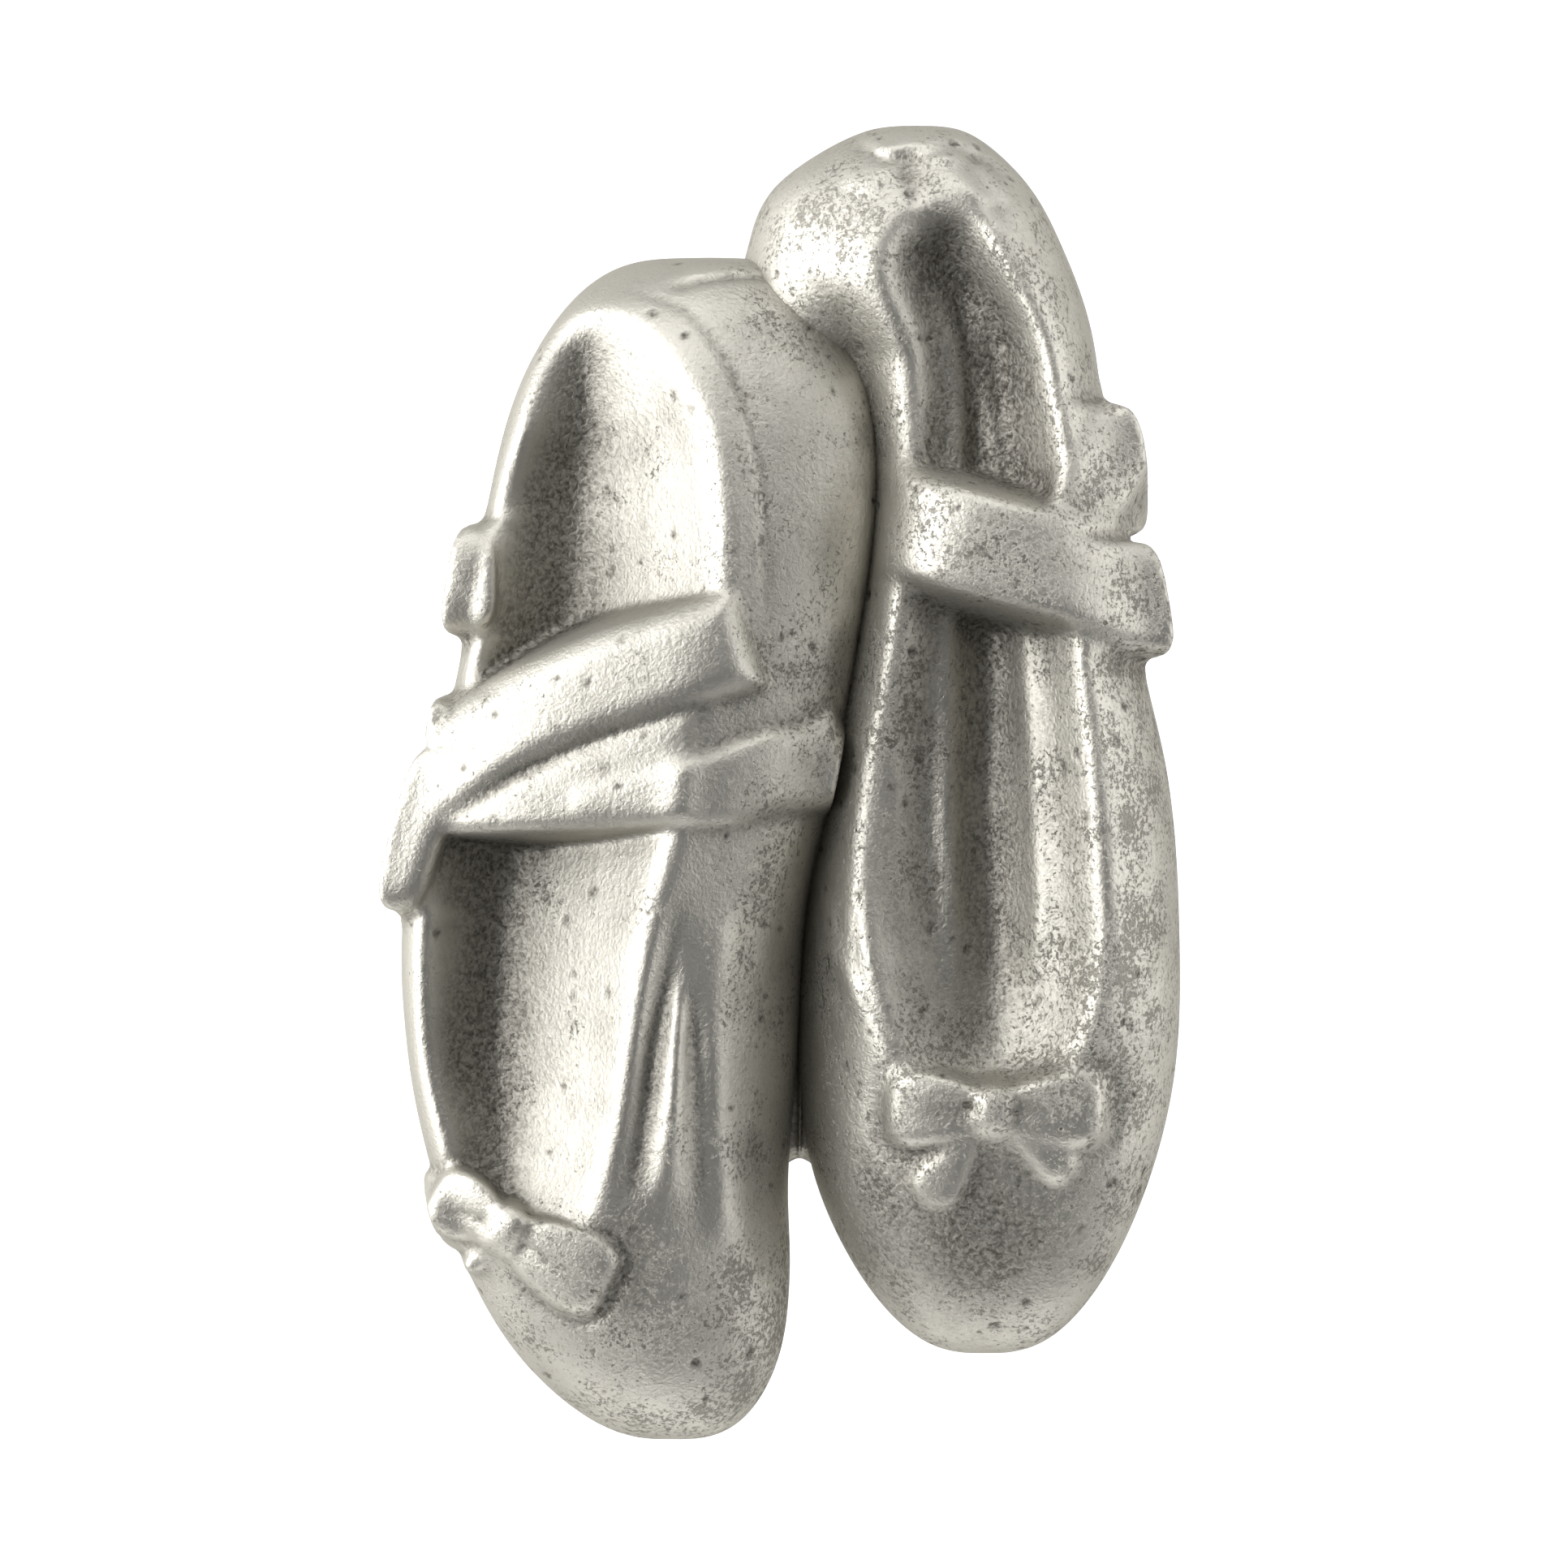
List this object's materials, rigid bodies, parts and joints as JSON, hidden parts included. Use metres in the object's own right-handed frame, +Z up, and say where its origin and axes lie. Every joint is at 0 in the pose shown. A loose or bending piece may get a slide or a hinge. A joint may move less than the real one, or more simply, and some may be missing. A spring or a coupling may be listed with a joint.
{
  "type": "cabinet knob",
  "caption": "Cast metal cabinet knob shaped as a pair of ballet slippers with crossed ribbons and bows, with its insert, screw and washer.",
  "frame": {"origin": "centre of the post's rear face, which lies against the drawer front, on the screw's axis", "axes": "+Z up, along the slippers from toe to heel; +Y into the drawer, along the screw; +X to the right seen from the front"},
  "size_m": [0.0392, 0.0445, 0.064],
  "materials": {
    "slippers": "satin antique pewter, finely pitted as cast",
    "trim": "satin antique pewter, rubbed brighter on the raised edges",
    "insert": "turned brass",
    "screw": "zinc-plated steel"
  },
  "bodies": {
    "casting": {"left_slipper": "slippers", "right_slipper": "slippers", "left_binding": "trim", "right_binding": "trim", "left_cross_ribbon": "trim", "left_lower_ribbon": "trim", "left_ribbon_tab": "trim", "right_cross_ribbon": "trim", "right_ribbon_tab": "trim", "left_bow": "trim", "right_bow": "trim", "joining_web": "slippers", "mounting_post": "slippers", "threaded_insert": "insert"},
    "washer": {"washer": "screw"},
    "screw": {"mounting_screw": "screw"}
  },
  "joints": [
    {"name": "screw_travel", "type": "slide", "parent": "casting", "child": "washer", "axis": [0, 1, 0], "range_m": [0, 0.0054]},
    {"name": "screw_turn", "type": "hinge", "parent": "washer", "child": "screw", "pos_m": [0, 0.01, 0], "axis": [0, 1, 0], "range_deg": [0, 2448]}
  ],
  "couplings": [
    {"joint": "screw_turn", "follows": "screw_travel", "rad_per_m": 7915.8}
  ]
}
